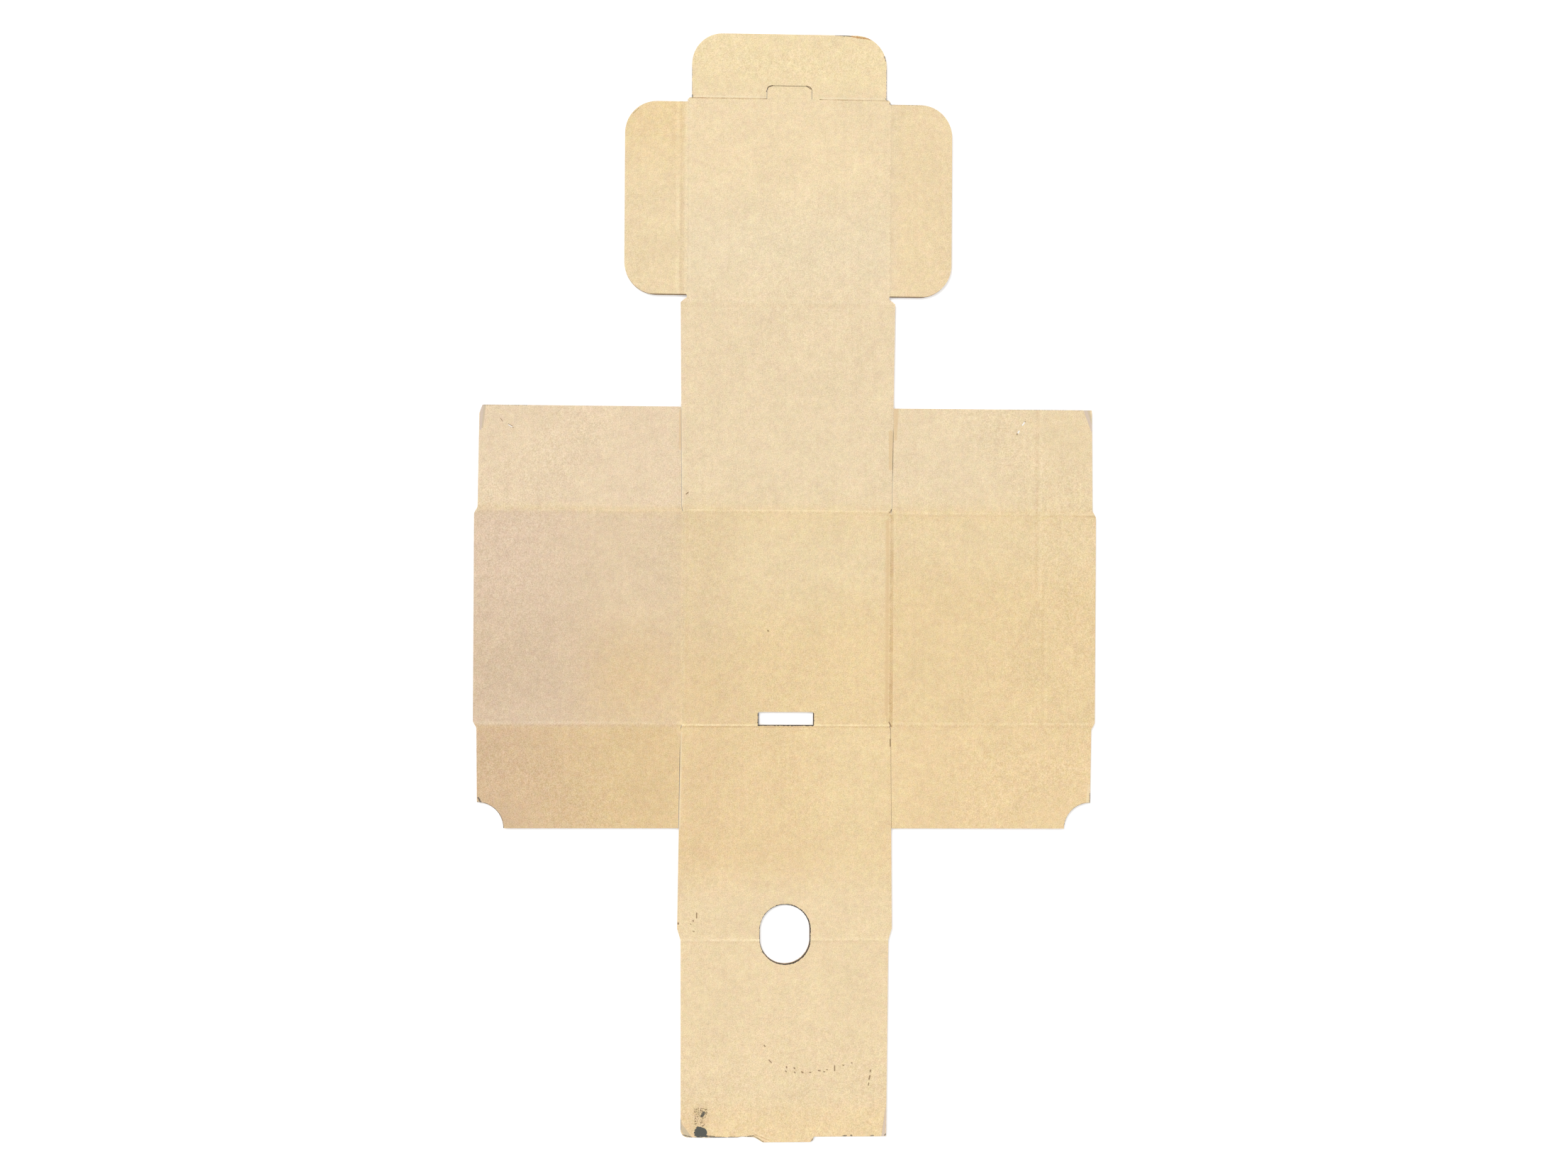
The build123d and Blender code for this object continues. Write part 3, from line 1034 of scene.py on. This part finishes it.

# %% Painted shade along the cut edges, in the notch corners and at the torn tab
# Dark lines of painted shade: the shadow beside the cut edges and in the notch corners.
shaded_edges = [((44.7, -409.2), (46.9, -409.2), 0.35, 0.3), ((50.2, -409.1), (51.2, -409.1), 0.3, 0.3),
              ((65.2, -409.2), (67.6, -409.1), 0.15, 0.3), ((75.8, -409.0), (77.0, -407.9), 0.35, 0.3),
              ((77.6, -394.0), (77.5, -406.0), 0.0, 0.35),
              ((-57.0, -409.0), (-51.4, -409.4), 0.3, 0.3), ((-50.4, -409.7), (-45.0, -409.9), 0.1, 0.3),
              ((-41.0, -410.1), (-36.8, -410.0), 0.3, 0.3), ((-36.0, -409.9), (-28.0, -409.7), 0.1, 0.3),
              ((-27.0, -409.4), (-22.2, -409.0), 0.25, 0.3), ((20.6, -413.4), (22.6, -410.6), 0.15, 0.3),
              ((-75.4, -407.8), (-68.0, -410.0), 0.15, 0.3), ((-76.6, -403.8), (-76.8, -396.0), 0.1, 0.3),
              ((-21.9, -409.3), (-15.0, -413.5), 0.1, 0.3), ((34.0, 413.9), (46.0, 413.3), 0.2, 0.3),
              ((71.2, 398.6), (71.5, 397.4), 0.3, 0.2), ((71.9, 396.2), (72.2, 395.2), 0.3, 0.2),
              ((-72.5, 367.6), (-72.7, 366.2), 0.4, 0.3), ((72.5, 366.8), (73.4, 366.0), 0.4, 0.3),
              ((75.5, 363.7), (76.5, 362.6), 0.3, 0.3), ((-228.4, -156.7), (-226.2, -160.4), 0.4, 0.4),
              ((-229.0, -179.5), (-229.0, -179.4), 19.6, 0.3),
              ((229.0, -179.5), (229.0, -179.4), 19.4, 0.3),
              ((229.1, -153.0), (229.0, -159.5), 0.1, 0.3), ((-226.0, 135.1), (-193.5, 135.1), 0.1, 0.3),
              ((166.0, 135.1), (222.0, 135.1), 0.0, 0.35), ((77.0, 362.8), (104.0, 362.8), 0.0, 0.35),
              ((72.8, 389.0), (72.8, 367.0), 0.05, 0.3), ((-72.8, 388.0), (-72.8, 369.0), 0.0, 0.3),
              ((-16.8, -271.6), (-12.4, -275.4), 0.2, 0.3), ((229.6, 133.0), (230.2, 117.6), 0.15, 0.4)]
print(len(shaded_edges), "dark edges")

# %% Scuffs and small tears
scuffs = [((-14.9, -341.4), (-14.2, -342.3), 0.3, 0.3), ((-11.2, -352.4), (-9.4, -354.4), 0.25, 0.3),
          ((1.9, -357.5), (2.1, -358.3), 0.35, 0.3), ((1.3, -360.7), (1.8, -361.2), 0.3, 0.3),
          ((7.6, -358.3), (8.1, -359.0), 0.35, 0.3), ((8.0, -361.6), (8.4, -362.1), 0.3, 0.3),
          ((13.4, -361.4), (14.3, -362.0), 0.35, 0.3), ((19.2, -361.9), (20.2, -361.9), 0.25, 0.3),
          ((25.9, -360.4), (27.1, -360.7), 0.35, 0.3), ((29.8, -361.4), (30.6, -361.4), 0.25, 0.3),
          ((32.0, -359.7), (32.6, -359.9), 0.25, 0.3), ((38.0, -357.0), (38.0, -360.6), 0.25, 0.4),
          ((44.2, -356.5), (44.7, -356.7), 0.3, 0.3), ((50.6, -354.8), (51.0, -355.0), 0.3, 0.3),
          ((64.9, -360.4), (64.7, -361.4), 0.3, 0.4), ((64.5, -364.5), (63.9, -367.0), 0.35, 0.4),
          ((63.6, -370.0), (63.4, -371.5), 0.25, 0.4), ((-13.8, -31.7), (-13.5, -32.1), 0.4, 0.3),
          ((-75.4, 69.8), (-73.9, 71.0), 0.25, 0.3), ((-79.5, -250.2), (-79.5, -250.7), 0.5, 0.3),
          ((-65.8, -242.6), (-65.8, -246.3), 0.25, 0.4), ((-68.4, -248.2), (-68.3, -248.8), 0.3, 0.3),
          ((-70.4, -250.6), (-69.9, -251.2), 0.1, 0.35), ((-68.4, -256.2), (-67.5, -256.5), 0.15, 0.4),
          ((-116.4, 353.2), (-112.2, 357.2), 0.0, 0.3), ((-213.4, 125.1), (-211.7, 122.7), 0.1, 0.25),
          ((-207.8, 121.0), (-204.6, 119.3), 0.1, 0.25), ((178.3, 125.8), (178.6, 126.2), 0.25, 0.25),
          ((172.8, 116.9), (172.4, 116.4), 0.3, 0.25), ((77.3, -99.9), (78.8, -102.8), 0.3, 0.3),
          ((-204.3, 118.3), (-203.9, 118.1), 0.15, 0.25),
          ((78.2, -112.6), (78.3, -118.0), 0.15, 0.4), ((78.2, 59.3), (76.8, 56.9), 0.15, 0.35)]
pale_tears = [((-207.5, 120.3), (-204.9, 118.7), 0.15, 0.25), ((176.7, 123.5), (178.0, 125.4), 0.35, 0.25),
              ((173.3, 117.6), (174.1, 119.0), 0.35, 0.25)]
peeled = [((46.0, 413.2), (61.0, 411.2), 0.25, 0.4), ((50.0, 412.6), (56.0, 412.0), 0.4, 0.4)]
print(len(scuffs), "scuffs and", len(pale_tears) + len(peeled), "strokes in the tears")

# %% Painted shade at the bent corners and beside the slits, and painted highlights on the lips
# Grey bands of painted shade on the slopes of the bent corners that face away from the light.
corner_slope_shade = [((-226.6, 136.5), (-228.2, 117.0), 1.5, 0.4, 0.6), ((74.9, -410.0), (76.5, -388.5), 1.4, 0.3, 0.1),
         ((223.6, 136.6), (229.4, 120.0), 1.3, 0.3, 0.9)]
# Darker painted shade in the creases of the bent corners.
corner_crease_shade = [((-224.8, 136.6), (-226.8, 118.0), 0.7, 0.4, 0.3), ((225.9, 136.6), (229.8, 123.0), 0.8, 0.3, 0.3),
        ((-77.4, -400.6), (-70.0, -410.4), 1.6, 0.3)]
# Brown bands of painted shade beside the slits and beside the base's right fold.
slit_side_shade = [((81.4, 134.0), (81.0, 112.0), 1.4, 0.9, 0.6), ((77.5, 117.0), (77.4, 90.0), 1.1, 0.9, 0.8),
          ((-79.8, 132.0), (-79.8, 104.0), 0.6, 1.2), ((75.4, 50.0), (75.4, -94.0), 0.6, 1.6)]
# Light lines of painted highlight on the raised lips of the slits and the half-cut fold.
lip_highlights = [((-77.9, 62.0), (-78.9, 134.0), 0.3, 0.5), ((78.4, 56.0), (79.4, 86.0), 0.3, 0.5),
        ((-77.8, -108.0), (-78.8, -180.0), 0.3, 0.5), ((227.2, -161.0), (228.4, -147.0), 0.6, 0.8),
        ((-72.0, 366.9), (-18.0, 366.9), 0.25, 0.5), ((24.0, 366.9), (72.0, 366.9), 0.25, 0.5)]
print(len(corner_slope_shade) + len(corner_crease_shade), "strokes at the corners and", len(slit_side_shade) + len(lip_highlights), "beside the slits")

# %% Dark rims of the slot, the hole and the lid's cuts: crushed cut edges with painted shade in them
# The crushed cut edges of the slot and the hole, darkened with painted shade.
shaded_cut_rims = [((-20.5, -102.4), (20.5, -102.4), 0.4, 0.2), ((-20.6, -102.0), (-20.6, -93.5), 0.35, 0.2),
            ((20.6, -102.0), (20.7, -93.5), 0.35, 0.2), ((0.15, -262.2), (0.15, -255.2), 18.9, 0.3),
            ((0.3, -262.35), (0.3, -255.0), 18.95, 0.3)]
# Dark lines along the dust flaps' lower edges and the lock cut: the dark cut face and its shadow, painted.
shaded_flap_rims = [((-116.0, 218.7), (-76.5, 218.7), 0.25, 0.25), ((76.5, 218.7), (116.0, 218.7), 0.2, 0.25),
             ((-17.2, 371.0), (-15.9, 374.4), 0.2, 0.25),
             ((-15.9, 374.4), (-12.6, 375.6), 0.25, 0.25), ((12.6, 375.6), (16.2, 373.4), 0.2, 0.25)]
print(len(shaded_cut_rims) + len(shaded_flap_rims), "dark rims")

# %% Drawing the marks
ragged_scale = 900.0
ragged_push = 1.2 * MM
speck_scale = 1250.0


def marks_and_painted_shade(tree, place, flat, zone, colour):
    """The marks of use and the painted shade and highlights in one zone, one kind after another, over the
    paper's colour.
    """
    wobble = node(tree, "TexNoise", noise_dimensions="3D")
    feed(tree, wobble.inputs["Vector"], place)
    wobble.inputs["Scale"].default_value = ragged_scale
    shift = node(tree, "VectorMath", wobble.outputs["Color"], (0.5, 0.5, 0.5), operation="SUBTRACT")
    push = node(tree, "VectorMath", shift.outputs[0], (ragged_push, ragged_push, 0), operation="MULTIPLY")
    ragged = node(tree, "VectorMath", flat, push.outputs[0], operation="ADD").outputs[0]
    specks = scaled(tree, noise(tree, place, speck_scale, 2.0, 2.0), 0.5, 0.56)
    patch_specks = scaled(tree, noise(tree, place, speck_scale, 2.0, 6.0), 0.36, 0.46)
    layers = [
        # tone, strength, strokes, the place that they are drawn on, specks
        # First painted shade and highlights at corners, slits and cut edges, then the marks of use.
        (seen(213, 195, 181), 0.8, corner_slope_shade, flat, None),
        (seen(204, 188, 160), 0.75, corner_crease_shade, flat, None),
        (seen(224, 192, 146), 0.6, slit_side_shade, ragged, None),
        (seen(250, 236, 204), 0.3, lip_highlights, flat, None),
        (seen(96, 72, 54), 0.85, shaded_flap_rims, flat, None),
        (seen(50, 50, 54), 0.97, shaded_cut_rims, ragged, None),
        (seen(190, 130, 70), 0.8, peeled, ragged, None),
        (seen(120, 88, 55), 0.75, scuffs, flat, None),
        (seen(252, 249, 244), 0.95, pale_tears, flat, None),
        (seen(84, 80, 78), 0.8, shaded_edges, ragged, None),
        (seen(108, 82, 54), 0.9, smear, ragged, specks),
        (seen(88, 86, 80), 0.95, smear_patch, ragged, patch_specks),
        (seen(80, 84, 82), 0.97, blot, ragged, None),
    ]
    for tone, strength, lines, where, texture in layers:
        mask = strokes(tree, where, lines, zone)
        if not mask:
            continue
        factor = math_node(tree, "MULTIPLY", mask, strength)
        if texture:
            factor = math_node(tree, "MULTIPLY", factor, texture)
        colour = mix(tree, factor, colour, tone)
    return colour


# %% [markdown]
# One material for the whole inside paper would be simplest, but it can hold only so many strokes before
# the renderer runs out of room for them. So the inside paper has five zones, one to each row of panels,
# and each zone's material draws only the folds and marks that meet it. The noise follows the same
# coordinates in all five, so no border shows.
#
# Where the die cut through the papers, the cut faces are rough, and their colour is darker than the flat
# ones: partly the rough paper itself and partly painted shade for the flute channels behind it. They
# have a material of their own, and the faces that get it are found by their direction: they stand upright.

# %% The papers get their materials
upright = 0.35
far = 1000.0
row_names = ("lid", "back", "base", "front", "roll_over")
borders = [far, *(place / MM for place in fold_places[1:]), -far]
zones = [("kraft_inside_" + row, (low, high))
         for row, low, high in zip(row_names, borders[1:], borders)]
# The cut faces' colour: rough paper, darkened partly by painted shade for the flute channels.
cut_paper = kraft("kraft_cut_edge", seen(134, 108, 78))


def zone_of(height):
    """The number of the zone that a height on the sheet lies in."""
    return [low < height / MM <= high for _, (low, high) in zones].index(True)


def give_finishes(piece, finishes, zoned=False):
    """Gives flat faces their zone's finish or the only one, and upright faces that of cut paper."""
    piece.data.materials.clear()
    for finish in (*finishes, cut_paper):
        piece.data.materials.append(finish)
    for face in piece.data.polygons:
        flat_number = zone_of(face.center.y) if zoned else 0
        face.material_index = len(finishes) if abs(face.normal.z) < upright else flat_number


give_finishes(inside_liner, [kraft(name, zone=zone) for name, zone in zones], zoned=True)
give_finishes(fluted_medium, [kraft("kraft_medium", seen(206, 172, 126))])
give_finishes(outside_liner, [kraft("kraft_outside", seen(224, 192, 145))])
for finish in inside_liner.data.materials:
    print(finish.name, "has", len(finish.node_tree.nodes), "nodes")

# %% [markdown]
# ## Floor, light and camera
#
# The floor is plain and white, just under the board. It glows a little to the camera, so that it looks as
# white as the sky and still takes the board's shadow. A white sky gives most of the light, and a soft
# sun from the upper left gives the folds their thin shadows. Lamps round the board could do the same,
# but each would have to be placed. The camera sees the sky as plain white.

# %% What the camera sees
def seen_by_camera(tree):
    """1 for what the camera sees itself or in a mirror or through glass, 0 for all other light."""
    rays = node(tree, "LightPath").outputs
    indirect = math_node(tree, "MAXIMUM", rays["Is Glossy Ray"], rays["Is Transmission Ray"])
    return math_node(tree, "MAXIMUM", rays["Is Camera Ray"], indirect)


# %% The floor
floor_size = 12
floor_gap = 0.1 * MM
floor_glow = 0.3

bpy.ops.object.select_all(action="DESELECT")
bpy.ops.mesh.primitive_plane_add(size=floor_size, location=(0, 0, -floor_gap))
floor = bpy.context.object
floor.name = "floor"
floor_finish = bpy.data.materials.new("floor_white")
floor_finish.use_nodes = True
floor_tree = floor_finish.node_tree
floor_shader = floor_tree.nodes["Principled BSDF"]
floor_shader.inputs["Base Color"].default_value = (0.99, 0.99, 0.99, 1)
floor_shader.inputs["Roughness"].default_value = 0.9
floor_shader.inputs["Specular IOR Level"].default_value = 0.1
floor_shader.inputs["Emission Color"].default_value = (1, 1, 1, 1)
glow = math_node(floor_tree, "MULTIPLY", seen_by_camera(floor_tree), floor_glow)
feed(floor_tree, floor_shader.inputs["Emission Strength"], glow)
floor.data.materials.append(floor_finish)
floor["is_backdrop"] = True
print("The floor lies", round(floor_gap / MM, 2), "mm under the board")

# %% The light
sky_strength = 0.70
sun_share = 0.30
sun_height = math.radians(62)
sun_bearing = math.radians(135)

world = bpy.data.worlds.new("studio")
bpy.context.scene.world = world
world.use_nodes = True
sky = world.node_tree
background = sky.nodes["Background"]
background.inputs["Color"].default_value = (1, 1, 1, 1)
feed(sky, background.inputs["Strength"], scaled(sky, seen_by_camera(sky), 0.0, 1.0, sky_strength, 1.0))
sun = bpy.data.lights.new("sun", "SUN")
sun.energy = sun_share * math.pi / math.sin(sun_height)
sun.angle = math.radians(15)
lamp = bpy.data.objects.new("sun", sun)
bpy.context.scene.collection.objects.link(lamp)
lamp.matrix_world = (Matrix.Rotation(sun_bearing - math.pi / 2, 4, "Z")
                     @ Matrix.Rotation(-(math.pi / 2 - sun_height), 4, "X"))
print("The sun gives", sun_share, "of the light and the sky", sky_strength)

# %% [markdown]
# The photo looks straight down from about a metre and a half, turned a hair against the blank, with
# the blank's right side a little farther away. One of its pixels is 0.53 mm on the board. A camera could
# be turned by three angles of its own, but here it is turned round the point that it looks at, so the
# point stays in the middle of the picture.

# %% The camera
photo_width = 2212
pixel_size = 0.5298 * MM
distance = 1.55
yaw = math.radians(2.565)
pitch = math.radians(0.067)
roll = math.radians(0.327)
aim_x, aim_y = -1.96 * MM, 0.16 * MM

view = bpy.data.cameras.new("camera")
view.sensor_width = 36.0
view.lens = view.sensor_width * distance / (photo_width * pixel_size)
camera = bpy.data.objects.new("camera", view)
bpy.context.scene.collection.objects.link(camera)
turned = Matrix.Rotation(-yaw, 4, "Y") @ Matrix.Rotation(pitch, 4, "X") @ Matrix.Rotation(roll, 4, "Z")
aim = Matrix.Translation((aim_x, aim_y, board))
camera.matrix_world = aim @ turned @ Matrix.Translation((0, 0, distance))
bpy.context.scene.camera = camera
bpy.context.scene.view_settings.view_transform = "Standard"
print("The camera's lens is", round(view.lens, 1), "mm")

# %% Sizes for the record, and the end
low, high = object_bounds()
print("Visual box", [round(v / MM, 2) for v in low], [round(v / MM, 2) for v in high])
